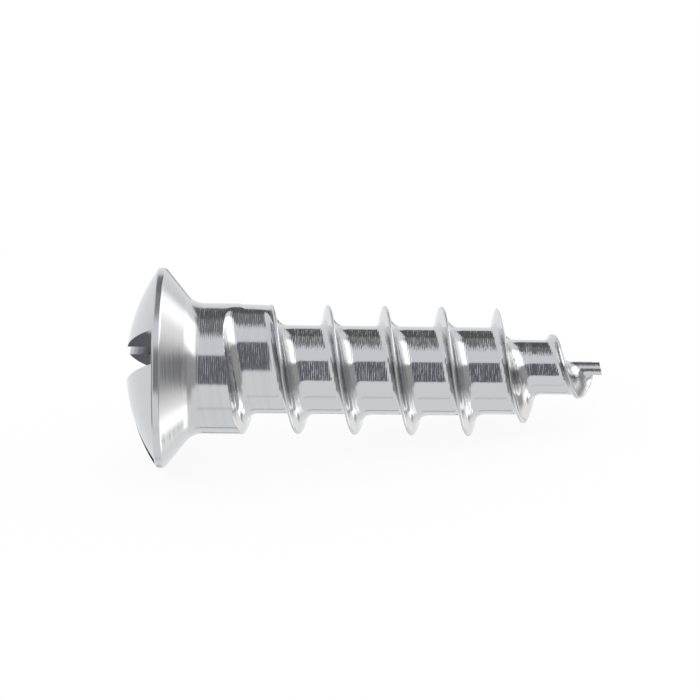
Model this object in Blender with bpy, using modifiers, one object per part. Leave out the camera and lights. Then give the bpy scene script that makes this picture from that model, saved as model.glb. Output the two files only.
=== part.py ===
"""Mesh fixation screw: a small titanium bone screw that pins a mesh or a plate.

One solid piece, turned and threaded from bar: an oval countersunk head with a cross slot, a plain
collar, a coarse right-handed thread that runs in at the collar, and a tapered end whose last turn
spirals down to a small nib.

The screw is drawn along its own axis, X, from the top of the head's dome to the nib. Angles about
the axis start at +Z and turn towards -Y, the way a right-handed thread advances. At the end the
screw is laid on its side on the floor, as a loose screw comes to rest.
"""

import math

import bmesh
import bpy
from mathutils import Matrix, Vector

MM = 0.001

# Head
HEAD_DIAMETER = 2.30 * MM
DOME_RADIUS = 1.98 * MM
RIM_LAND = 0.072 * MM
RIM_EDGE = 0.014 * MM
CONE_ANGLE = math.radians(102.0)
NECK_FILLET = 0.24 * MM

# Driver slot
SLOT_WIDTH = 0.40 * MM
SLOT_DEPTH = 0.355 * MM
SLOT_TURN = math.radians(-12.5)

# Shank
COLLAR_DIAMETER = 1.50 * MM
THREAD_DIAMETER = 1.48 * MM
STEP_DOWN_START = 1.45 * MM
STEP_DOWN_LENGTH = 0.30 * MM
TAPER_ANGLE = math.radians(24.5)
TAPER_LENGTH = 0.96 * MM
POINT_ROUNDING = 0.26 * MM
LENGTH = 5.445 * MM

# Thread
CORE_DIAMETER = 1.018 * MM
PITCH = 0.65 * MM
THREAD_START = 1.003 * MM
CREST_LAND = 0.030 * MM
HEAD_SIDE_FLANK = math.radians(6.5)
TIP_SIDE_FLANK = math.radians(11.6)
HEAD_SIDE_ROOT = 0.09 * MM
TIP_SIDE_ROOT = 0.17 * MM

# Run-in at the collar, and the floor's spiral down to the nib
RUN_IN_CLEARANCE = 0.02 * MM
RUN_IN_DELAY = math.radians(2.0)
RUN_IN_ANGLE = math.radians(108.0)
FLOOR_LEAD_TURNS = 0.525
FLOOR_DROP = 0.2450 * MM
FLOOR_BLEND_TURNS = 0.10
RUN_OUT_TURNS = 0.075
OVERCUT = 0.008 * MM

# Nib
NIB_LENGTH = 0.103 * MM
NIB_ROOT = 0.13 * MM
NIB_CORE = 0.016 * MM
NIB_INSET = 0.004 * MM
NIB_SWEEP_TURNS = 0.455
NIB_END_SLANT = math.radians(12.0)

# The roll about the axis in which the screw lies
LYING_ROLL = math.radians(-22.5)

# Fineness of the faceted solid
SIDES = 48
DOME_STEPS = 10
NECK_STEPS = 4
POINT_STEPS = 4
HEAD_SIDE_ROOT_STEPS = 3
TIP_SIDE_ROOT_STEPS = 4
NIB_STEPS = 16
MERGE = 1e-8

SCREW = "mesh_fixation_screw"

head_radius = HEAD_DIAMETER / 2
collar_radius = COLLAR_DIAMETER / 2
thread_radius = THREAD_DIAMETER / 2
core_radius = CORE_DIAMETER / 2
thread_depth = thread_radius - core_radius
point_end = LENGTH - NIB_LENGTH
taper_end = point_end - POINT_ROUNDING * (1 - math.sin(TAPER_ANGLE))
taper_start = taper_end - TAPER_LENGTH
full_depth_turns = (taper_start - THREAD_START) / PITCH - FLOOR_LEAD_TURNS
core_turns = full_depth_turns + (core_radius - NIB_CORE) / FLOOR_DROP
thread_turns = (point_end - THREAD_START) / PITCH + RUN_OUT_TURNS


def clear_scene():
    """Remove every object of the open scene."""
    for obj in list(bpy.data.objects):
        bpy.data.objects.remove(obj)


def new_collection(name, hidden=False):
    """Make a collection in the scene, and hide it from renders if it holds only cutters."""
    collection = bpy.data.collections.new(name)
    bpy.context.scene.collection.children.link(collection)
    collection.hide_render = hidden
    return collection


def arc(center, radius, start, end, steps):
    """Points (along the axis, radius) on an arc; its angles are measured from the axis direction."""
    points = []
    for i in range(steps + 1):
        angle = start + (end - start) * i / steps
        points.append((center[0] + radius * math.cos(angle), center[1] + radius * math.sin(angle)))
    return points


def head_profile():
    """The dome, the rim's land with its broken edges, and the cone down to the neck's fillet."""
    edge_radius = head_radius - RIM_EDGE
    half_cone = CONE_ANGLE / 2
    dome_edge = math.asin(edge_radius / DOME_RADIUS)
    dome = arc((DOME_RADIUS, 0.0), DOME_RADIUS, math.pi, math.pi - dome_edge, DOME_STEPS)
    dome[0] = (0.0, 0.0)
    rim_start = dome[-1][0] + RIM_EDGE
    rim_end = rim_start + RIM_LAND
    neck_corner = rim_end + (head_radius - collar_radius) / math.tan(half_cone)
    fillet_end = neck_corner + NECK_FILLET * math.tan(half_cone / 2)
    fillet = arc((fillet_end, collar_radius + NECK_FILLET), NECK_FILLET,
                 -math.pi / 2 - half_cone, -math.pi / 2, NECK_STEPS)
    return dome + [(rim_start, head_radius), (rim_end, head_radius)] + fillet


def shank_profile():
    """The collar, the thread's outer diameter, the taper and the rounded point."""
    taper_radius = thread_radius - TAPER_LENGTH * math.tan(TAPER_ANGLE)
    center = (taper_end - POINT_ROUNDING * math.sin(TAPER_ANGLE),
              taper_radius - POINT_ROUNDING * math.cos(TAPER_ANGLE))
    point = arc(center, POINT_ROUNDING, math.pi / 2 - TAPER_ANGLE, 0.0, POINT_STEPS)
    return [
        (STEP_DOWN_START, collar_radius),
        (STEP_DOWN_START + STEP_DOWN_LENGTH, thread_radius),
        (taper_start, thread_radius),
        *point,
        (point_end, 0.0),
    ]


def turned(name, profile, collection):
    """Turn a profile about X with a Screw modifier, its edges half a step off the thread's sections."""
    mesh = bpy.data.meshes.new(name)
    edges = [(i, i + 1) for i in range(len(profile) - 1)]
    mesh.from_pydata([(x, 0.0, max(radius, 0.0)) for x, radius in profile], edges, [])
    obj = bpy.data.objects.new(name, mesh)
    collection.objects.link(obj)
    screw = obj.modifiers.new("turn", "SCREW")
    screw.axis = "X"
    screw.steps = SIDES
    screw.render_steps = SIDES
    screw.use_merge_vertices = True
    screw.merge_threshold = MERGE
    screw.use_normal_flip = True
    mesh.transform(Matrix.Rotation(math.pi / SIDES, 4, "X"))
    return obj


def radial(angle):
    """The direction away from the axis at an angle about it."""
    return Vector((0.0, -math.sin(angle), math.cos(angle)))


def smooth_step(value):
    """Rise from 0 to 1 with level ends."""
    value = min(max(value, 0.0), 1.0)
    return value * value * (3 - 2 * value)


def floor_radius(turns):
    """Radius of the groove's floor, so many turns after the thread's start."""
    run_in = smooth_step((turns * math.tau - RUN_IN_DELAY) / RUN_IN_ANGLE)
    start_radius = collar_radius + RUN_IN_CLEARANCE
    radius = start_radius + (core_radius - start_radius) * run_in
    past = turns - full_depth_turns
    softened = (past + math.hypot(past, FLOOR_BLEND_TURNS)) / 2
    return max(radius - FLOOR_DROP * softened, NIB_CORE)


def outer_radius(distance):
    """Radius of the turned shank at a distance from the dome's top, but for the point's rounding."""
    step_down = min(max((distance - STEP_DOWN_START) / STEP_DOWN_LENGTH, 0.0), 1.0)
    radius = collar_radius + (thread_radius - collar_radius) * step_down
    return radius - max(distance - taper_start, 0.0) * math.tan(TAPER_ANGLE)


def wall(angle, root, steps, top):
    """The groove's wall: an arc out of the floor, then a straight flank up to a height over it.

    Each point is (distance from the crest's flank at the thread's full height, height).
    """
    turn = math.pi / 2 - angle
    points = [(root * math.sin(turn * i / steps), root * (1 - math.cos(turn * i / steps)))
              for i in range(steps + 1)]
    run, rise = points[-1]
    crest_run = run + (thread_depth - rise) * math.tan(angle)
    points.append((run + (top - rise) * math.tan(angle), top))
    return [(crest_run - run, rise) for run, rise in points]


def groove_section(turns):
    """The cutting tool's outline so many turns after the thread's start.

    Each point is (distance from the dome's top, radius). The outline clears the blank by the
    overcut and no more, so that the tool's neighbouring turns don't meet over a crest.
    """
    floor = floor_radius(turns)
    behind = THREAD_START + turns * PITCH
    ahead = behind + PITCH
    tops = [max(outer_radius(crest) - floor, thread_depth) + OVERCUT for crest in (behind, ahead)]
    tip_side = wall(TIP_SIDE_FLANK, TIP_SIDE_ROOT, TIP_SIDE_ROOT_STEPS, tops[0])
    head_side = wall(HEAD_SIDE_FLANK, HEAD_SIDE_ROOT, HEAD_SIDE_ROOT_STEPS, tops[1])
    near_wall = [(behind + CREST_LAND / 2 + run, floor + rise) for run, rise in reversed(tip_side)]
    far_wall = [(ahead - CREST_LAND / 2 - run, floor + rise) for run, rise in head_side]
    first = near_wall[0][0] + CREST_LAND
    last = far_wall[-1][0] - CREST_LAND
    corners = [min(max(taper_start, first + CREST_LAND), last),
               min(max(STEP_DOWN_START, first), last - CREST_LAND)]
    lid = [(corner, max(outer_radius(corner), floor + thread_depth) + OVERCUT)
           for corner in corners]
    return near_wall + far_wall + lid


def thread_cutter(collection):
    """The swept tool: its outline follows the helix while its floor runs in and spirals down."""
    shape = bmesh.new()
    rings = []
    for step in range(round(thread_turns * SIDES) + 1):
        turns = step / SIDES
        outwards = radial(turns * math.tau)
        rings.append([shape.verts.new(outwards * radius + Vector((distance, 0.0, 0.0)))
                      for distance, radius in groove_section(turns)])
    count = len(rings[0])
    for ring, following in zip(rings, rings[1:]):
        for i in range(count):
            j = (i + 1) % count
            shape.faces.new((ring[i], ring[j], following[j], following[i]))
    shape.faces.new(reversed(rings[0]))
    shape.faces.new(rings[-1])
    bmesh.ops.recalc_face_normals(shape, faces=shape.faces)
    return finish_mesh(shape, "thread_cutter", collection)


def slot_cutter(name, angle, collection):
    """One arm of the cross slot: a box through the head's dome, down to the slot's floor."""
    shape = bmesh.new()
    bmesh.ops.create_cube(shape, size=1.0)
    size = (2 * SLOT_DEPTH, SLOT_WIDTH, 2 * HEAD_DIAMETER)
    bmesh.ops.scale(shape, vec=size, verts=shape.verts)
    bmesh.ops.rotate(shape, matrix=Matrix.Rotation(angle, 3, "X"), verts=shape.verts)
    return finish_mesh(shape, name, collection)


def nib(collection):
    """The curled pin left at the point: it carries on the floor of the groove's last half turn."""
    first_turns = core_turns - NIB_SWEEP_TURNS
    widest = floor_radius(first_turns) - NIB_INSET
    core = NIB_CORE - NIB_INSET
    upwards = radial(first_turns * math.tau)
    shape = bmesh.new()
    near_end = []
    far_end = []
    for i in range(NIB_STEPS):
        turns = i / NIB_STEPS
        if turns <= 0.5:
            radius = floor_radius(first_turns + turns) - NIB_INSET
        else:
            radius = core + (widest - core) * (2 * turns - 1) ** 2
        place = radial((first_turns + turns) * math.tau) * radius
        slant = (place.dot(upwards) + core) * math.tan(NIB_END_SLANT)
        near_end.append(shape.verts.new(place + Vector((point_end - NIB_ROOT, 0.0, 0.0))))
        far_end.append(shape.verts.new(place + Vector((LENGTH - slant, 0.0, 0.0))))
    for i in range(NIB_STEPS):
        j = (i + 1) % NIB_STEPS
        shape.faces.new((near_end[i], near_end[j], far_end[j], far_end[i]))
    shape.faces.new(near_end)
    shape.faces.new(far_end)
    bmesh.ops.recalc_face_normals(shape, faces=shape.faces)
    return finish_mesh(shape, "nib", collection)


def finish_mesh(shape, name, collection):
    """Put a bmesh into a new object that only shapes another one."""
    mesh = bpy.data.meshes.new(name)
    shape.to_mesh(mesh)
    shape.free()
    obj = bpy.data.objects.new(name, mesh)
    collection.objects.link(obj)
    obj.hide_render = True
    obj.display_type = "WIRE"
    return obj


def combine(target, other, operation):
    """Add an exact Boolean to the target."""
    boolean = target.modifiers.new(other.name, "BOOLEAN")
    boolean.operation = operation
    boolean.solver = "EXACT"
    boolean.object = other


def titanium():
    """Bright turned titanium."""
    material = bpy.data.materials.new("titanium")
    material.use_nodes = True
    shader = material.node_tree.nodes["Principled BSDF"]
    shader.inputs["Base Color"].default_value = (0.60, 0.59, 0.57, 1.0)
    shader.inputs["Metallic"].default_value = 1.0
    shader.inputs["Roughness"].default_value = 0.22
    return material


def lie_down(mesh):
    """Roll the screw, tip it about its rim until the thread touches the floor, and centre it."""
    mesh.transform(Matrix.Rotation(LYING_ROLL, 4, "X"))
    rim = min((vertex.co for vertex in mesh.vertices), key=lambda point: (point.z, -point.x)).copy()
    beyond = [vertex.co - rim for vertex in mesh.vertices if vertex.co.x > rim.x + RIM_LAND]
    tilt = min(math.atan2(reach.z, reach.x) for reach in beyond)
    mesh.transform(Matrix.Rotation(tilt, 4, "Y"))
    low = Vector([min(vertex.co[axis] for vertex in mesh.vertices) for axis in range(3)])
    high = Vector([max(vertex.co[axis] for vertex in mesh.vertices) for axis in range(3)])
    middle = (low + high) / 2
    mesh.transform(Matrix.Translation((-middle.x, -middle.y, -low.z)))


def build_screw():
    """Turn the blank, cut its thread, leave the nib and mill the slot, then lay the screw down."""
    parts = new_collection(SCREW)
    cutters = new_collection("cutters", hidden=True)
    blank = turned("turned_blank", head_profile() + shank_profile(), cutters)
    combine(blank, nib(cutters), "UNION")
    combine(blank, thread_cutter(cutters), "DIFFERENCE")
    for name, angle in (("slot_arm", 0.0), ("cross_arm", math.pi / 2)):
        combine(blank, slot_cutter(name, SLOT_TURN + angle, cutters), "DIFFERENCE")

    depsgraph = bpy.context.evaluated_depsgraph_get()
    mesh = bpy.data.meshes.new_from_object(blank.evaluated_get(depsgraph))
    bpy.data.objects.remove(blank)
    mesh.name = SCREW
    lie_down(mesh)
    mesh.shade_smooth()
    mesh.set_sharp_from_angle(angle=math.radians(35.0))
    mesh.materials.clear()
    mesh.materials.append(titanium())
    screw = bpy.data.objects.new(SCREW, mesh)
    parts.objects.link(screw)
    return screw


clear_scene()
build_screw()
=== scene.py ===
"""Mesh fixation screw: its fine surface, its titanium finish and the white studio it lies in.

The screw is one turned and threaded piece, so one rule gives its whole skin: a radius for each
distance along the axis and each angle about it. A flat development of that skin is laid out in
rows that follow the thread, and Geometry Nodes roll it up, close it and mill the cross slot.
"""

import logging
import math
from dataclasses import dataclass, field, fields
from enum import Enum
from typing import Any, Iterable, TypeAlias

import bpy
from mathutils import Matrix, Vector


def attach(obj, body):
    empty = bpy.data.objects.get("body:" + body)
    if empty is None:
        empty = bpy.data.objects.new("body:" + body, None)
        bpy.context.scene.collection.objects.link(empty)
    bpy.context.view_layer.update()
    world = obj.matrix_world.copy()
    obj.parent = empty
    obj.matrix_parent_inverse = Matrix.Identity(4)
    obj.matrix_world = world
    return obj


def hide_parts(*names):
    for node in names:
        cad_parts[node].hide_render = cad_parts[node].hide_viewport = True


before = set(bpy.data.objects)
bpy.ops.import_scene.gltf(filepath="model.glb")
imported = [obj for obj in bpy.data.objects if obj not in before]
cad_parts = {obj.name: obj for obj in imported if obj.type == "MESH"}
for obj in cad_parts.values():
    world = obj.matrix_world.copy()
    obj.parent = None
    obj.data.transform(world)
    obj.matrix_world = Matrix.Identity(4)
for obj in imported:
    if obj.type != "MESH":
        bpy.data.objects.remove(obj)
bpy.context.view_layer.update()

MM = 0.001
NODE = "mesh_fixation_screw"
LOG = logging.getLogger("screw")

Number: TypeAlias = "Signal | float | int"
Rgba: TypeAlias = tuple[float, float, float, float]


class Signal:
    """A number, vector or colour that leaves a node; sums on it add Math nodes."""

    def __init__(self, graph: "Graph", socket: bpy.types.NodeSocket) -> None:
        """Wrap an output socket.

        Args:
            graph: The graph that the socket's node is in.
            socket: The output.
        """
        self.graph = graph
        self.socket = socket

    def _math(self, operation: str, *others: Number) -> "Signal":
        """Add a Math node whose first value is this one."""
        return self.graph.math(operation, self, *others)

    def __add__(self, other: Number) -> "Signal":
        """Sum."""
        return self._math("ADD", other)

    __radd__ = __add__

    def __sub__(self, other: Number) -> "Signal":
        """Difference."""
        return self._math("SUBTRACT", other)

    def __rsub__(self, other: Number) -> "Signal":
        """Difference, with this value taken away."""
        return self.graph.math("SUBTRACT", other, self)

    def __mul__(self, other: Number) -> "Signal":
        """Product."""
        return self._math("MULTIPLY", other)

    __rmul__ = __mul__

    def __truediv__(self, other: Number) -> "Signal":
        """Quotient."""
        return self._math("DIVIDE", other)

    def __rtruediv__(self, other: Number) -> "Signal":
        """Quotient, with this value below the line."""
        return self.graph.math("DIVIDE", other, self)

    def __pow__(self, other: Number) -> "Signal":
        """Power."""
        return self._math("POWER", other)

    def __neg__(self) -> "Signal":
        """The value with its sign changed."""
        return self * -1.0

    def __lt__(self, other: Number) -> "Signal":
        """1 where this value is the smaller."""
        return self._math("LESS_THAN", other)

    def __gt__(self, other: Number) -> "Signal":
        """1 where this value is the larger."""
        return self._math("GREATER_THAN", other)

    def __abs__(self) -> "Signal":
        """The value without its sign."""
        return self._math("ABSOLUTE")

    def least(self, other: Number, blend: Number = 0.0) -> "Signal":
        """The smaller of two values, with a rounded change over from one to the other."""
        return self._math("SMOOTH_MIN", other, blend) if blend else self._math("MINIMUM", other)

    def most(self, other: Number) -> "Signal":
        """The larger of two values."""
        return self._math("MAXIMUM", other)

    def within(self, low: Number, high: Number) -> "Signal":
        """The value, held between two limits."""
        return self.most(low).least(high)

    def root(self) -> "Signal":
        """The square root, taken of nothing less than 0."""
        return self.most(0.0)._math("SQRT")

    def sin(self) -> "Signal":
        """Sine."""
        return self._math("SINE")

    def cos(self) -> "Signal":
        """Cosine."""
        return self._math("COSINE")

    def rounded(self) -> "Signal":
        """The nearest whole number."""
        return (self + 0.5)._math("FLOOR")

    def fraction(self) -> "Signal":
        """What is left over the whole number below."""
        return self._math("FRACT")

    def step(self, start: Number, end: Number) -> "Signal":
        """Rise smoothly from 0 at one value to 1 at another.

        Args:
            start: Where the rise starts.
            end: Where it ends.

        Returns:
            A value from 0 to 1.
        """
        return self.graph.out(self.graph.add(
            "ShaderNodeMapRange", {"interpolation_type": "SMOOTHSTEP"}, i0=self, i1=start, i2=end,
            i3=0.0, i4=1.0))

    def band(self, low: Number, high: Number, soft: float,
             soft_high: float | None = None) -> "Signal":
        """1 between two values and 0 outside them, with soft edges.

        Args:
            low: The middle of the rise.
            high: The middle of the fall.
            soft: Half the width of the rise.
            soft_high: Half the width of the fall, where it isn't the same.

        Returns:
            A value from 0 to 1.
        """
        fall = soft if soft_high is None else soft_high
        return self.step(low - soft, low + soft) * (1.0 - self.step(high - fall, high + fall))

    def mixed(self, other: Number, share: Number) -> "Signal":
        """This value, with a share of it replaced by another one."""
        return self * (1.0 - share) + share * other


class Graph:
    """A node tree that is written with one call for each node."""

    def __init__(self, tree: bpy.types.NodeTree) -> None:
        """Empty the tree.

        Args:
            tree: A shader tree or a geometry tree.
        """
        self.tree = tree
        tree.nodes.clear()

    def add(self, kind: str, settings: dict[str, Any] | None = None,
            **sockets: Any) -> bpy.types.Node:
        """Add a node.

        Args:
            kind: The node's type.
            settings: Its properties, such as an operation, set before its sockets.
            **sockets: A value, a Signal or a list of them for each input. An input is named by
                its own name with _ for each space, or by i and its number.

        Returns:
            The node.
        """
        node = self.tree.nodes.new(kind)
        for name, value in (settings or {}).items():
            setattr(node, name, value)
        for name, value in sockets.items():
            numbered = name[0] == "i" and name[1:].isdigit()
            socket = node.inputs[int(name[1:]) if numbered else name.replace("_", " ")]
            for single in value if isinstance(value, list) else [value]:
                self._feed(socket, single)
        return node

    def _feed(self, socket: bpy.types.NodeSocket, value: Any) -> None:
        """Link a Signal to a socket, or write a plain value on it."""
        if isinstance(value, Signal):
            self.tree.links.new(value.socket, socket)
        else:
            socket.default_value = value

    def out(self, node: bpy.types.Node, name: str | int = 0) -> Signal:
        """An output of a node."""
        return Signal(self, node.outputs[name])

    def math(self, operation: str, *values: Number) -> Signal:
        """Add a Math node.

        Args:
            operation: The sum that it does.
            *values: Its values in order.

        Returns:
            Its result.
        """
        inputs = {f"i{place}": value for place, value in enumerate(values)}
        return self.out(self.add("ShaderNodeMath", {"operation": operation}, **inputs))

    def vector(self, x: Number, y: Number, z: Number) -> Signal:
        """A vector from its three parts."""
        return self.out(self.add("ShaderNodeCombineXYZ", i0=x, i1=y, i2=z))

    def dot(self, one: Any, other: Any) -> Signal:
        """The scalar product of two vectors."""
        node = self.add("ShaderNodeVectorMath", {"operation": "DOT_PRODUCT"}, i0=one, i1=other)
        return self.out(node, "Value")

    def blend(self, share: Number, one: Any, other: Any) -> Signal:
        """A colour between two colours."""
        node = self.add("ShaderNodeMix", {"data_type": "RGBA"}, i0=share, i6=one, i7=other)
        return self.out(node, 2)

    def noise(self, place: Signal, scale: float) -> Signal:
        """A noise between about 0.25 and 0.75, read at a place."""
        node = self.add("ShaderNodeTexNoise", {"noise_dimensions": "3D"}, Vector=place,
                        Scale=scale, Detail=1.0, Roughness=0.5)
        return self.out(node, 0)


@dataclass(frozen=True)
class Sizes:
    """The screw's sizes in metres and its angles in radians.

    They are the solid's own, apart from four: edge_break, crest_break and crest_crown round what
    the solid leaves as facets, and nib_inset is smaller than the gap that its Boolean needs.
    """

    head_radius: float = 1.1475 * MM
    dome_radius: float = 1.98 * MM
    rim_start: float = 0.3723 * MM
    rim_end: float = 0.4443 * MM
    edge_break: float = 0.024 * MM
    cone_angle: float = math.radians(51.0)
    neck_fillet: float = 0.24 * MM
    slot_width: float = 0.40 * MM
    slot_depth: float = 0.355 * MM
    slot_turn: float = math.radians(-12.5)
    collar_radius: float = 0.7493 * MM
    thread_radius: float = 0.7393 * MM
    step_down_start: float = 1.45 * MM
    step_down_length: float = 0.30 * MM
    taper_start: float = 4.2298 * MM
    taper_end: float = 5.1898 * MM
    taper_angle: float = math.radians(24.5)
    point_rounding: float = 0.26 * MM
    point_end: float = 5.342 * MM
    length: float = 5.445 * MM
    core_radius: float = 0.5085 * MM
    pitch: float = 0.65 * MM
    thread_start: float = 1.003 * MM
    crest_land: float = 0.030 * MM
    crest_break: float = 0.012 * MM
    crest_crown: float = 0.0165 * MM
    head_side_flank: float = math.radians(6.5)
    tip_side_flank: float = math.radians(11.6)
    head_side_root: float = 0.09 * MM
    tip_side_root: float = 0.17 * MM
    run_in_radius: float = 0.7693 * MM
    run_in_delay: float = math.radians(2.0)
    run_in_angle: float = math.radians(108.0)
    full_depth_turns: float = 4.4393
    floor_drop: float = 0.245 * MM
    floor_blend_turns: float = 0.10
    nib_root: float = 0.13 * MM
    nib_core: float = 0.016 * MM
    nib_inset: float = 0.0002 * MM
    nib_start_turns: float = 5.9966
    nib_slant: float = math.radians(12.0)

    @staticmethod
    def label(name: str) -> str:
        """The name of a size as the modifier shows it."""
        return name.replace("_", " ").capitalize()


@dataclass(frozen=True)
class Lying:
    """How the screw lies on the floor: rolled about its axis and tipped on to its thread."""

    roll: float = math.radians(-22.5)
    tilt: float = math.radians(6.5957)
    apex: Vector = Vector((-2.699688, 0.0, 1.190977)) * MM

    def matrix(self) -> Matrix:
        """The move from the screw's own axes to the floor's."""
        turned = Matrix.Rotation(self.tilt, 4, "Y") @ Matrix.Rotation(self.roll, 4, "X")
        return Matrix.Translation(self.apex) @ turned

    def direction(self, along: float, top: float, near: float) -> Vector:
        """A direction given by its parts along the axis, to the thread's zero and a quarter on."""
        return self.matrix().to_3x3() @ Vector((along, -near, top))


@dataclass
class Development:
    """The screw's skin laid flat: X runs along the axis, and Y is the turn about it, 0 to 1."""

    sizes: Sizes
    columns: int = 180
    rows_per_pitch: int = 56
    crowding: float = 3.0
    dome_steps: int = 26
    dome_margin: float = 0.03 * MM
    rim_start_reach: float = 0.018 * MM
    rim_end_reach: float = 0.020 * MM
    fillet_circle: float = 0.68 * MM
    collar_circle: float = 0.905 * MM
    point_circle: float = 5.25 * MM
    rounding_circle: float = 5.30 * MM
    point_step: float = 0.0006 * MM
    nib_end_reach: float = 0.03 * MM
    cap_span: float = 0.01 * MM
    snap: float = 0.0012 * MM

    def head_rows(self) -> list[float]:
        """Rows round the dome, the rim, the cone and its fillet, as far as the collar."""
        size = self.sizes
        dome_angle = math.acos(1 - (size.rim_start - self.dome_margin) / size.dome_radius)
        dome = [size.dome_radius * (1 - math.cos(dome_angle * step / self.dome_steps))
                for step in range(self.dome_steps + 1)]
        return self.carry_on(
            dome, (size.rim_start - self.rim_start_reach, 2),
            (size.rim_start + self.rim_start_reach, 12), (size.rim_end - self.rim_end_reach, 3),
            (size.rim_end + self.rim_end_reach, 12), (self.fillet_circle, 8),
            (self.collar_circle, 16))

    def thread_rows(self) -> list[float]:
        """Rows beside one crest, close together on it and wider apart on the groove's floor."""
        half = self.rows_per_pitch / 2
        widest = math.sinh(self.crowding)
        return [self.sizes.pitch / 2 * math.sinh(self.crowding * (i - half) / half) / widest
                for i in range(self.rows_per_pitch)]

    def point_rows(self) -> list[float]:
        """Rows round the point's end and along the nib, and the rings that close its end."""
        size = self.sizes
        point = self.carry_on([self.point_circle], (self.rounding_circle, 7),
                              (size.point_end - self.point_step, 12))
        nib = self.carry_on([size.point_end + self.point_step],
                            (size.length - self.nib_end_reach, 8), (size.length, 8),
                            (size.length + self.cap_span, 6))
        return point[1:] + nib

    @staticmethod
    def carry_on(rows: list[float], *stretches: tuple[float, int]) -> list[float]:
        """Carry rows on evenly.

        Args:
            rows: The rows so far.
            *stretches: Where each stretch after them ends, and its number of rows.

        Returns:
            All the rows.
        """
        rows = list(rows)
        for end, steps in stretches:
            start = rows[-1]
            rows += [start + (end - start) * step / steps for step in range(1, steps + 1)]
        return rows

    def held(self, distance: float) -> float:
        """A distance of the thread's rows, held between the circles that end them."""
        if distance < self.collar_circle + self.snap:
            return self.collar_circle
        if distance > self.point_circle - self.snap:
            return self.point_circle
        return distance

    def rows(self) -> list[list[float]]:
        """Each row's distance along the axis at each column.

        Returns:
            The rows from the dome's top to the nib's end. The thread's rows climb a pitch in one
            turn, so that a row's last column meets the first column of the row a pitch on.
        """
        size = self.sizes
        beside = self.thread_rows()
        circles = self.head_rows()
        grid = [[distance] * (self.columns + 1) for distance in circles[:-1]]
        turns = math.ceil((self.point_circle - size.thread_start) / size.pitch) + 1
        for crest in range(-1, turns):
            for offset in beside:
                start = size.thread_start + crest * size.pitch + offset
                grid.append([self.held(start + size.pitch * column / self.columns)
                             for column in range(self.columns + 1)])
        grid += [[distance] * (self.columns + 1) for distance in self.point_rows()]
        return grid

    def mesh(self, name: str) -> bpy.types.Mesh:
        """Lay the skin out flat.

        Args:
            name: The new mesh's name.

        Returns:
            A sheet of four-sided faces.
        """
        grid = self.rows()
        width = self.columns + 1
        places = [(distance, column / self.columns, 0.0)
                  for row in grid for column, distance in enumerate(row)]
        faces = [(row * width + column, row * width + column + 1,
                  (row + 1) * width + column + 1, (row + 1) * width + column)
                 for row in range(len(grid) - 1) for column in range(self.columns)]
        sheet = bpy.data.meshes.new(name)
        sheet.from_pydata(places, [], faces)
        return sheet


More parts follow.
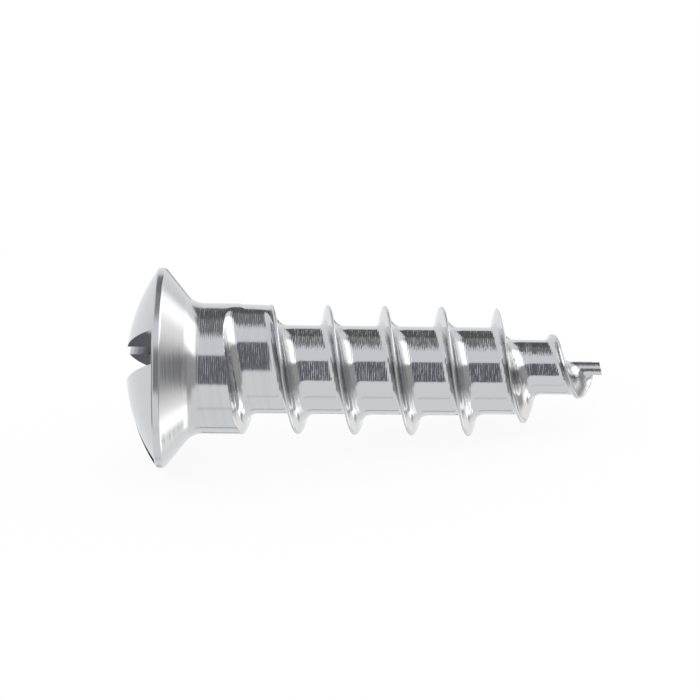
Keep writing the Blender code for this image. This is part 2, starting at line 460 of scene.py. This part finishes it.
class Skin:
    """The Geometry Nodes that roll the development up into the screw."""

    MERGE = 0.00002 * MM
    CROWN_SHARE = 0.95
    CROWN_RUN_IN = (0.7, 1.1)
    SPARE_TURNS = 8.0

    def __init__(self, sizes: Sizes, cap_span: float) -> None:
        """Write the tree.

        Args:
            sizes: The values of its inputs.
            cap_span: How far past the nib's end the development's last ring lies.
        """
        self.sizes = sizes
        self.cap_span = cap_span
        self.tree = bpy.data.node_groups.new("roll up and mill", "GeometryNodeTree")
        self.graph = Graph(self.tree)
        self.names: dict[str, str] = {}
        interface = self.tree.interface
        interface.new_socket("Development", in_out="INPUT", socket_type="NodeSocketGeometry")
        for entry in fields(sizes):
            socket = interface.new_socket(sizes.label(entry.name), in_out="INPUT",
                                          socket_type="NodeSocketFloat")
            self.names[entry.name] = socket.identifier
        finish = interface.new_socket("Finish", in_out="INPUT", socket_type="NodeSocketMaterial")
        self.names["finish"] = finish.identifier
        interface.new_socket("Screw", in_out="OUTPUT", socket_type="NodeSocketGeometry")
        self.group = self.graph.add("NodeGroupInput")
        self._write()

    def size(self, name: str) -> Signal:
        """The input of a named size."""
        return self.graph.out(self.group, self.sizes.label(name))

    def blank(self, run: Signal) -> Signal:
        """The turned blank's radius.

        Args:
            run: The distance along the axis.

        Returns:
            The radius of the dome, rim, cone, collar, thread's outside and point.
        """
        size = self.size
        depth = run.least(size("dome_radius"))
        dome = (depth * (2.0 * size("dome_radius") - depth)).root()
        slope = self.graph.math("TANGENT", size("cone_angle"))
        rim = size("head_radius")
        cone = rim - (run - size("rim_end")) * slope
        half_tangent = self.graph.math("TANGENT", size("cone_angle") / 2.0)
        corner = size("rim_end") + (rim - size("collar_radius")) / slope
        fillet_end = corner + size("neck_fillet") * half_tangent
        sine = size("cone_angle").sin()
        fillet_start = fillet_end - size("neck_fillet") * sine
        behind = (fillet_end - run).within(0.0, size("neck_fillet") * sine)
        hollow = (size("neck_fillet") * size("neck_fillet") - behind * behind).root()
        fillet = size("collar_radius") + size("neck_fillet") - hollow
        on_cone = run < fillet_start
        head = dome.least(rim, size("edge_break")).least(
            cone.mixed(fillet, 1.0 - on_cone), size("edge_break"))

        step_down = ((run - size("step_down_start")) / size("step_down_length")).within(0.0, 1.0)
        outside = (size("collar_radius") - size("thread_radius")) * step_down
        taper = (run - size("taper_start")).most(0.0) * self.graph.math(
            "TANGENT", size("taper_angle"))
        shank = head - outside - taper

        rounding = size("point_rounding")
        length = size("taper_end") - size("taper_start")
        end_radius = size("thread_radius") - length * self.graph.math(
            "TANGENT", size("taper_angle"))
        middle = end_radius - rounding * size("taper_angle").cos()
        past = (run - size("point_end") + rounding).most(0.0)
        ball = middle + (rounding * rounding - past * past).root()
        ball = ball * (run < size("point_end"))
        return shank.mixed(ball, run > size("taper_end"))

    def floor(self, turns: Signal) -> Signal:
        """The groove's floor radius, so many turns after the thread's start."""
        size = self.size
        angle = turns * math.tau - size("run_in_delay")
        run_in = (angle / size("run_in_angle")).step(0.0, 1.0)
        radius = size("run_in_radius").mixed(size("core_radius"), run_in)
        radius = radius + size("head_radius") * (turns < 0.0)
        past = turns - size("full_depth_turns")
        blend = size("floor_blend_turns")
        softened = (past + (past * past + blend * blend).root()) / 2.0
        return (radius - size("floor_drop") * softened).most(size("nib_core"))

    def wall(self, away: Signal, side: str) -> Signal:
        """The height of the groove's wall over its floor.

        Args:
            away: The distance into the groove from the crest's middle.
            side: The wall's side of the groove, "head_side" or "tip_side".

        Returns:
            The height: 0 on the floor, then an arc and a straight flank.
        """
        size = self.size
        angle, root = size(side + "_flank"), size(side + "_root")
        depth = size("thread_radius") - size("core_radius")
        slope = self.graph.math("TANGENT", angle)
        arc_run = root * angle.cos()
        arc_rise = root * (1.0 - angle.sin())
        floor_at = size("crest_land") / 2.0 + arc_run + (depth - arc_rise) * slope
        up = floor_at - away
        on_arc = up.within(0.0, arc_run)
        arc = root - (root * root - on_arc * on_arc).root()
        return arc + (up - arc_run).most(0.0) / slope

    def nib(self, run: Signal, turn: Signal) -> Signal:
        """The radius of the curled pin at the point, and 0 where it doesn't reach."""
        size = self.size
        start = size("nib_start_turns")
        core = size("nib_core") - size("nib_inset")
        widest = self.floor(start) - size("nib_inset")
        turned = (turn - start + self.SPARE_TURNS).fraction()
        curl = self.floor(start + turned) - size("nib_inset")
        opening = core + (widest - core) * (2.0 * turned - 1.0).most(0.0) ** 2.0
        radius = curl.mixed(opening, turned > 0.5)
        return radius * (run > size("point_end") - size("nib_root"))

    def radius(self, run: Signal, turn: Signal) -> Signal:
        """The screw's radius at a distance along the axis and a turn about it."""
        size = self.size
        pitches = (run - size("thread_start")) / size("pitch") - turn
        crest = pitches.rounded()
        away = (pitches - crest) * size("pitch")
        turns = crest + turn
        tip_side = self.floor(turns) + self.wall(away, "tip_side")
        head_side = self.floor(turns - 1.0) + self.wall(-away, "head_side")
        walls = tip_side.least(head_side, size("crest_break"))
        crown = size("crest_crown")
        aside = abs(away).least(crown * self.CROWN_SHARE)
        rounding = crown - (crown * crown - aside * aside).root()
        rounding = rounding * turns.step(*self.CROWN_RUN_IN)
        cut = (self.blank(run) - rounding).least(walls, size("crest_break"))
        return cut.most(self.nib(run, turn))

    def slot_arms(self) -> list[Signal]:
        """The two milled arms of the cross slot, as boxes through the head."""
        size = self.size
        arms = []
        for quarter in (0.0, math.pi / 2):
            box = self.graph.add("GeometryNodeMeshCube", Size=self.graph.vector(
                2.0 * size("slot_depth"), size("slot_width"), 4.0 * size("head_radius")))
            angles = self.graph.vector(size("slot_turn") + quarter, 0.0, 0.0)
            arms.append(self.graph.out(self.graph.add(
                "GeometryNodeTransform", Geometry=self.graph.out(box), Rotation=angles)))
        return arms

    def _write(self) -> None:
        """Write the tree from its input to its output."""
        graph, size = self.graph, self.size
        flat = graph.out(graph.add("GeometryNodeInputPosition"))
        place = graph.add("ShaderNodeSeparateXYZ", i0=flat)
        run, turn = graph.out(place, 0), graph.out(place, 1)
        shrink = 1.0 - ((run - size("length")) / self.cap_span).within(0.0, 1.0)
        radius = self.radius(run, turn) * shrink
        angle = turn * math.tau
        upwards = (angle - size("nib_start_turns") * math.tau).cos() * radius
        core = size("nib_core") - size("nib_inset")
        face = size("length") - (upwards + core) * graph.math("TANGENT", size("nib_slant"))
        along = run.least(face)
        rolled = graph.add("GeometryNodeSetPosition", Geometry=graph.out(self.group, "Development"),
                           Position=graph.vector(along, -(radius * angle.sin()),
                                                 radius * angle.cos()))
        closed = graph.add("GeometryNodeMergeByDistance", Geometry=graph.out(rolled),
                           Distance=self.MERGE)
        milled = graph.add("GeometryNodeMeshBoolean",
                           {"operation": "DIFFERENCE", "solver": "MANIFOLD"},
                           i0=graph.out(closed), i1=self.slot_arms())
        real = graph.add("GeometryNodeRealizeInstances", i0=graph.out(milled, "Mesh"))
        dressed = graph.add("GeometryNodeSetMaterial", Geometry=graph.out(real),
                            Material=graph.out(self.group, "Finish"))
        graph.add("NodeGroupOutput", i0=graph.out(dressed))

    def roll_up(self, sheet: bpy.types.Mesh, finish: bpy.types.Material) -> bpy.types.Mesh:
        """Roll a development up into the screw.

        Args:
            sheet: The flat development.
            finish: The screw's material.

        Returns:
            The closed, milled skin as a plain mesh.
        """
        blank = bpy.data.objects.new("screw_development", sheet)
        bpy.context.scene.collection.objects.link(blank)
        modifier = blank.modifiers.new("roll up and mill", "NODES")
        modifier.node_group = self.tree
        for entry in fields(self.sizes):
            modifier[self.names[entry.name]] = float(getattr(self.sizes, entry.name))
        modifier[self.names["finish"]] = finish
        evaluated = blank.evaluated_get(bpy.context.evaluated_depsgraph_get())
        skin = bpy.data.meshes.new_from_object(evaluated)
        bpy.data.objects.remove(blank)
        return skin


class Zone(Enum):
    """The stretches of the screw that are worked differently: where each starts and ends, in mm."""

    DOME = (-1.0, 0.362)
    RIM = (0.362, 0.448)
    CONE = (0.448, 0.86)
    COLLAR = (0.86, 1.67)
    THREAD = (1.67, 9.0)


@dataclass(frozen=True)
class Titanium:
    """Bare turned titanium. Lengths are in millimetres.

    Fine rings and even ridges run round the shank, the marks on the thread's flanks follow the
    thread, and the cone under the head has broader streaks.
    """

    color: Rgba = (0.600, 0.603, 0.613, 1.0)
    stain: Rgba = (0.520, 0.515, 0.510, 1.0)
    stain_share: float = 0.2
    stain_range: tuple[float, float] = (0.56, 0.40)
    roughness: dict[Zone, float] = field(default_factory=lambda: {
        Zone.DOME: 0.07, Zone.RIM: 0.22, Zone.CONE: 0.20, Zone.COLLAR: 0.12, Zone.THREAD: 0.09})
    marks: dict[Zone, float] = field(default_factory=lambda: {
        Zone.DOME: 0.03, Zone.RIM: 0.20, Zone.CONE: 0.22, Zone.COLLAR: 0.62, Zone.THREAD: 1.0})
    zone_edge: float = 0.006
    mark_spacing: float = 0.0090
    mark_height: float = 0.0011
    mark_change: float = 0.2
    ring_unevenness: float = 0.05
    streak_spacing: float = 0.045
    streak_height: float = 0.0009
    ridges_per_pitch: int = 30
    ridge_height: float = 0.00022
    straight_end: float = 4.6
    straight_fade: float = 0.1
    flank_foot: float = 0.05
    flank_margin: float = 0.02
    flank_soft: tuple[float, float] = (0.03, 0.01)
    flank_marks: float = 0.12
    crest_edge: tuple[float, float] = (0.03, 0.01)
    crest_roughness: float = 0.26

    def material(self, sizes: Sizes, lying: Lying) -> bpy.types.Material:
        """Make the material.

        Args:
            sizes: The screw's sizes, for the thread's pitch and depth.
            lying: Where the screw lies, so that the marks follow its axis.

        Returns:
            A node material that reads object coordinates.
        """
        material = bpy.data.materials.new("bare_titanium")
        material.use_nodes = True
        graph = Graph(material.node_tree)
        place = graph.out(graph.add("ShaderNodeTexCoord"), "Object")
        local = graph.add("ShaderNodeVectorMath", {"operation": "SUBTRACT"}, i0=place,
                          i1=lying.apex)
        run, top, near = (graph.dot(graph.out(local), lying.direction(*parts) / MM)
                          for parts in ((1, 0, 0), (0, 1, 0), (0, 0, 1)))
        angle = graph.math("ARCTAN2", near, top)
        pitch = sizes.pitch / MM
        wheel = pitch / math.tau
        outwards = (top * top + near * near).root()
        phase = (run - outwards) / wheel - angle
        along_thread = graph.vector(phase.cos() * wheel, phase.sin() * wheel,
                                    run * self.mark_change)

        zones = {zone: run.band(*zone.value, self.zone_edge) for zone in Zone}
        threaded = zones[Zone.THREAD]
        core, crown = sizes.core_radius / MM, sizes.thread_radius / MM
        on_flank = threaded * outwards.band(
            core + self.flank_foot, crown + self.flank_margin, *self.flank_soft)
        straight = run.band(Zone.COLLAR.value[0], self.straight_end, self.zone_edge,
                            self.straight_fade) * (1.0 - on_flank)
        across = run - outwards * (1.0 - straight)
        round_axis = graph.vector(across, angle.cos() * self.ring_unevenness,
                                  angle.sin() * self.ring_unevenness)
        fine = graph.noise(round_axis, 1.0 / self.mark_spacing).mixed(
            graph.noise(along_thread, 1.0 / self.mark_spacing), on_flank)
        broad = graph.noise(along_thread, 1.0 / self.streak_spacing)
        crest = outwards.step(*(crown - edge for edge in self.crest_edge))
        roughness = self._over_zones(zones, self.roughness).mixed(
            self.crest_roughness, crest * threaded)
        stained = broad.step(*self.stain_range) * zones[Zone.COLLAR] * self.stain_share
        color = graph.blend(stained, self.color, self.stain)
        ridges = (across * (self.ridges_per_pitch * math.tau / pitch)).sin()
        height = (fine * self.mark_height + ridges * self.ridge_height) * self._over_zones(
            zones, self.marks)
        height = height.mixed(height * self.flank_marks, on_flank)
        height = height + broad * zones[Zone.CONE] * self.streak_height
        bump = graph.add("ShaderNodeBump", Strength=1.0, Distance=MM, Height=height)
        shader = graph.add("ShaderNodeBsdfPrincipled", Base_Color=color, Metallic=1.0,
                           Roughness=roughness, Normal=graph.out(bump))
        graph.add("ShaderNodeOutputMaterial", Surface=graph.out(shader))
        return material

    @staticmethod
    def _over_zones(zones: dict[Zone, Signal], values: dict[Zone, float]) -> Signal:
        """A value that changes from zone to zone."""
        return sum(weight * values[zone] for zone, weight in zones.items())


@dataclass
class Screw:
    """The whole screw, one piece of titanium."""

    sizes: Sizes = field(default_factory=Sizes)
    lying: Lying = field(default_factory=Lying)
    finish: Titanium = field(default_factory=Titanium)
    sharp_angle: float = math.radians(32.0)

    def build(self) -> bpy.types.Object:
        """Make the screw where the solid lies.

        Returns:
            The finished object, with its place in its mesh.
        """
        layout = Development(self.sizes)
        material = self.finish.material(self.sizes, self.lying)
        skin = Skin(self.sizes, layout.cap_span).roll_up(layout.mesh("development"), material)
        skin.name = "titanium_screw"
        skin.transform(self.lying.matrix())
        skin.shade_smooth()
        skin.set_sharp_from_angle(angle=self.sharp_angle)
        screw = bpy.data.objects.new("titanium_screw", skin)
        bpy.context.scene.collection.objects.link(screw)
        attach(screw, "root")
        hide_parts(NODE)
        return screw


@dataclass(frozen=True)
class Camera:
    """The camera, placed by where it stands about the screw."""

    pixels_per_mm: float = 87.34
    image_width: float = 700.0
    distance_pixels: float = 6362.0
    yaw: float = math.radians(2.10)
    roll: float = math.radians(0.685)
    apex_pixel: tuple[float, float] = (126.21, 367.41)
    sensor: float = 36.0
    clip: tuple[float, float] = (0.5 * MM, 10.0)

    def axes(self, lying: Lying) -> tuple[Vector, Vector, Vector]:
        """The camera's right, up and backward directions."""
        axis = lying.direction(1, 0, 0)
        top = lying.direction(0, 1, 0)
        near = lying.direction(0, 0, 1)
        right = axis * math.cos(self.yaw) - near * math.sin(self.yaw)
        back = near * math.cos(self.yaw) + axis * math.sin(self.yaw)
        across = right * math.cos(self.roll) + top * math.sin(self.roll)
        upward = top * math.cos(self.roll) - right * math.sin(self.roll)
        return across, upward, back

    def place(self, lying: Lying) -> bpy.types.Object:
        """Make the camera and set it as the scene's.

        Args:
            lying: Where the screw lies.

        Returns:
            The camera.
        """
        across, upward, back = self.axes(lying)
        scale = MM / self.pixels_per_mm
        half = self.image_width / 2
        apex_depth = -(half - self.apex_pixel[0]) * math.sin(self.yaw)
        spot = (lying.apex - across * (self.apex_pixel[0] - half) * scale
                + upward * (self.apex_pixel[1] - half) * scale
                + back * (self.distance_pixels - apex_depth) * scale)
        data = bpy.data.cameras.new("camera")
        data.sensor_width = self.sensor
        data.lens = self.sensor * self.distance_pixels / self.image_width
        data.clip_start, data.clip_end = self.clip
        camera = bpy.data.objects.new("camera", data)
        turned = Matrix((across, upward, back)).transposed().to_4x4()
        camera.matrix_world = Matrix.Translation(spot) @ turned
        bpy.context.scene.collection.objects.link(camera)
        bpy.context.scene.camera = camera
        return camera


@dataclass(frozen=True)
class Panel:
    """A lamp, a cloth or an opening of the studio, placed by the metal that mirrors it.

    Its place is the way the metal faces that throws it to the front: how far that metal is turned
    about the screw's axis, up from the front, and how far it leans along the axis, to the tip.
    """

    glow: tuple[float, float, float]
    turned: tuple[float, float]
    leaning: tuple[float, float]
    soft: tuple[float, float] = (1.0, 1.0)
    soft_lean: float = 1.5
    turned_shear: float = 0.0
    tip_end_shear: float = 0.0

    def share(self, turned: Signal, leaning: Signal) -> Signal:
        """How much of a direction this panel fills.

        Args:
            turned: The turn of the metal that mirrors the direction, in degrees.
            leaning: Its lean, in degrees.

        Returns:
            The share, 0 to 1, soft at the panel's edges.
        """
        head_end, tip_end = self.leaning
        across = turned
        if self.turned_shear:
            across = turned - (leaning - (head_end + tip_end) / 2) * self.turned_shear
        if self.tip_end_shear:
            tip_end = (turned - sum(self.turned) / 2) * self.tip_end_shear + tip_end
        return (across.band(*self.turned, *self.soft)
                * leaning.band(head_end, tip_end, self.soft_lean))


@dataclass(frozen=True)
class Studio:
    """A white tent with dark openings and bright lamps behind its cloth, over a pale floor."""

    floor_half: float = 0.25
    floor_glow: float = 0.9
    least_toward: float = 0.0001
    white: Rgba = (1.0, 1.0, 1.0, 1.0)
    tent: Rgba = (0.95, 0.96, 0.965, 1.0)
    panels: tuple[Panel, ...] = (
        # Behind the upper half of the shank, and the two seams that show below its middle
        Panel((0.91, 0.92, 0.965), (11.0, 34.0), (-60.0, 12.0)),
        Panel((0.78, 0.78, 0.79), (-38.8, -36.4), (-12.0, 9.0), (0.5, 0.5)),
        Panel((0.45, 0.45, 0.46), (-65.4, -63.4), (-20.0, 12.0), (0.4, 0.4)),
        # Dark cloth and lamps that show in the neck, the cone and the foot of the thread's flanks
        Panel((0.43, 0.425, 0.43), (-17.0, 12.5), (9.0, 22.0), (2.0, 2.0)),
        Panel((0.43, 0.425, 0.43), (-26.0, 12.5), (20.0, 34.0), (8.0, 2.0), 2.0),
        Panel((1.15, 1.14, 1.12), (-42.0, -18.0), (33.5, 47.5), (2.0, 5.0), 1.5),
        Panel((0.33, 0.325, 0.32), (-17.0, 12.5), (33.0, 46.0), (6.0, 2.0), 2.0),
        Panel((1.9, 1.9, 1.88), (15.5, 47.0), (10.5, 47.0), (1.5, 1.5), 2.0, 0.3),
        Panel((2.2, 2.2, 2.15), (-56.0, -32.0), (34.0, 47.5), (2.0, 3.0), 1.5),
        # The same for the flanks higher up, which lean more
        Panel((1.06, 1.05, 1.03), (-46.0, 48.0), (46.0, 80.0), (3.0, 6.0), 1.0),
        Panel((0.80, 0.80, 0.81), (52.0, 72.0), (46.0, 64.0), (3.0, 6.0), 1.0),
        Panel((0.48, 0.48, 0.49), (-55.5, -45.5), (46.0, 64.0), (4.0, 2.0), 1.0),
        Panel((1.85, 1.85, 1.82), (33.5, 48.0), (46.0, 64.0), (7.0, 5.0), 1.0),
        Panel((1.85, 1.85, 1.82), (-43.5, -30.5), (46.0, 64.0), (2.5, 6.5), 1.0),
        Panel((0.42, 0.415, 0.41), (-15.5, 13.5), (46.0, 80.0), (9.0, 10.0), 1.0),
        # Openings that show in the head-side flanks, in the two dark bands along the shank, in
        # the slot's walls and at the cone's outline
        Panel((0.28, 0.28, 0.29), (-36.0, 10.0), (-52.0, -27.0), (2.0, 2.0), 2.0),
        Panel((0.22, 0.22, 0.23), (24.0, 50.0), (-5.5, 4.5), (3.5, 3.0), 1.5, 0.0, 0.9),
        Panel((0.13, 0.13, 0.132), (48.0, 67.0), (-7.0, 15.0), (2.0, 1.2), 1.5, 0.0, 1.1),
        Panel((0.16, 0.16, 0.19), (-14.2, 11.4), (-5.0, 8.0), (0.8, 0.8)),
        Panel((0.11, 0.11, 0.13), (-80.0, -75.0), (-15.0, -8.0), (0.5, 0.5), 0.3),
        Panel((0.25, 0.25, 0.25), (81.0, 100.0), (24.0, 62.0), (1.0, 1.0), 2.0),
    )

    def floor(self) -> bpy.types.Object:
        """Lay the floor: pale, and white to the camera but for the screw's shadow."""
        half = self.floor_half
        sheet = bpy.data.meshes.new("floor")
        sheet.from_pydata([(-half, -half, 0.0), (half, -half, 0.0), (half, half, 0.0),
                           (-half, half, 0.0)], [], [(0, 1, 2, 3)])
        material = bpy.data.materials.new("pale_floor")
        material.use_nodes = True
        graph = Graph(material.node_tree)
        rays = graph.add("ShaderNodeLightPath")
        seen = graph.out(rays, "Is Camera Ray").most(graph.out(rays, "Is Glossy Ray")).most(
            graph.out(rays, "Is Transmission Ray"))
        diffuse = graph.add("ShaderNodeBsdfDiffuse", Color=self.white)
        glow = graph.add("ShaderNodeEmission", Color=self.white, Strength=1.0)
        mixed = graph.add("ShaderNodeMixShader", i0=seen * self.floor_glow,
                          i1=graph.out(diffuse), i2=graph.out(glow))
        graph.add("ShaderNodeOutputMaterial", Surface=graph.out(mixed))
        sheet.materials.append(material)
        floor = bpy.data.objects.new("floor", sheet)
        bpy.context.scene.collection.objects.link(floor)
        floor.visible_glossy = False
        return floor

    def light(self, lying: Lying) -> bpy.types.World:
        """Light the tent: its panels show in the metal, and the floor gets an even white light.

        Args:
            lying: Where the screw lies, because the tent is set up along its axis.

        Returns:
            The world.
        """
        world = bpy.data.worlds.new("tent")
        world.use_nodes = True
        graph = Graph(world.node_tree)
        ray = graph.out(graph.add("ShaderNodeTexCoord"), "Generated")
        along, top, near = (graph.dot(ray, lying.direction(*parts))
                            for parts in ((1, 0, 0), (0, 1, 0), (0, 0, 1)))
        toward = (near + 1.0).most(self.least_toward)
        turned = graph.math("ARCTAN2", top, toward) * math.degrees(1.0)
        lean = along / (toward * 2.0).root()
        leaning = graph.math("ARCSINE", lean.within(-1.0, 1.0)) * math.degrees(1.0)
        color: Signal | Rgba = self.tent
        for panel in self.panels:
            color = graph.blend(panel.share(turned, leaning), color, (*panel.glow, 1.0))
        mirrored = graph.out(graph.add("ShaderNodeLightPath"), "Is Glossy Ray")
        color = graph.blend(mirrored, self.white, color)
        glow = graph.add("ShaderNodeBackground", Color=color, Strength=1.0)
        graph.add("ShaderNodeOutputWorld", Surface=graph.out(glow))
        bpy.context.scene.world = world
        return world


def main() -> None:
    """Build the screw, its studio and its camera."""
    logging.basicConfig(level=logging.INFO, format="%(message)s")
    scene = bpy.context.scene
    scene.view_settings.view_transform = "Standard"
    screw = Screw()
    piece = screw.build()
    LOG.info("%s: %d faces", piece.name, len(piece.data.polygons))
    studio = Studio()
    LOG.info("%s laid", studio.floor().name)
    studio.light(screw.lying)
    camera = Camera().place(screw.lying)
    away = (camera.location - screw.lying.apex).length / MM
    LOG.info("%s stands %.1f mm away", camera.name, away)


if __name__ == "__main__":
    main()
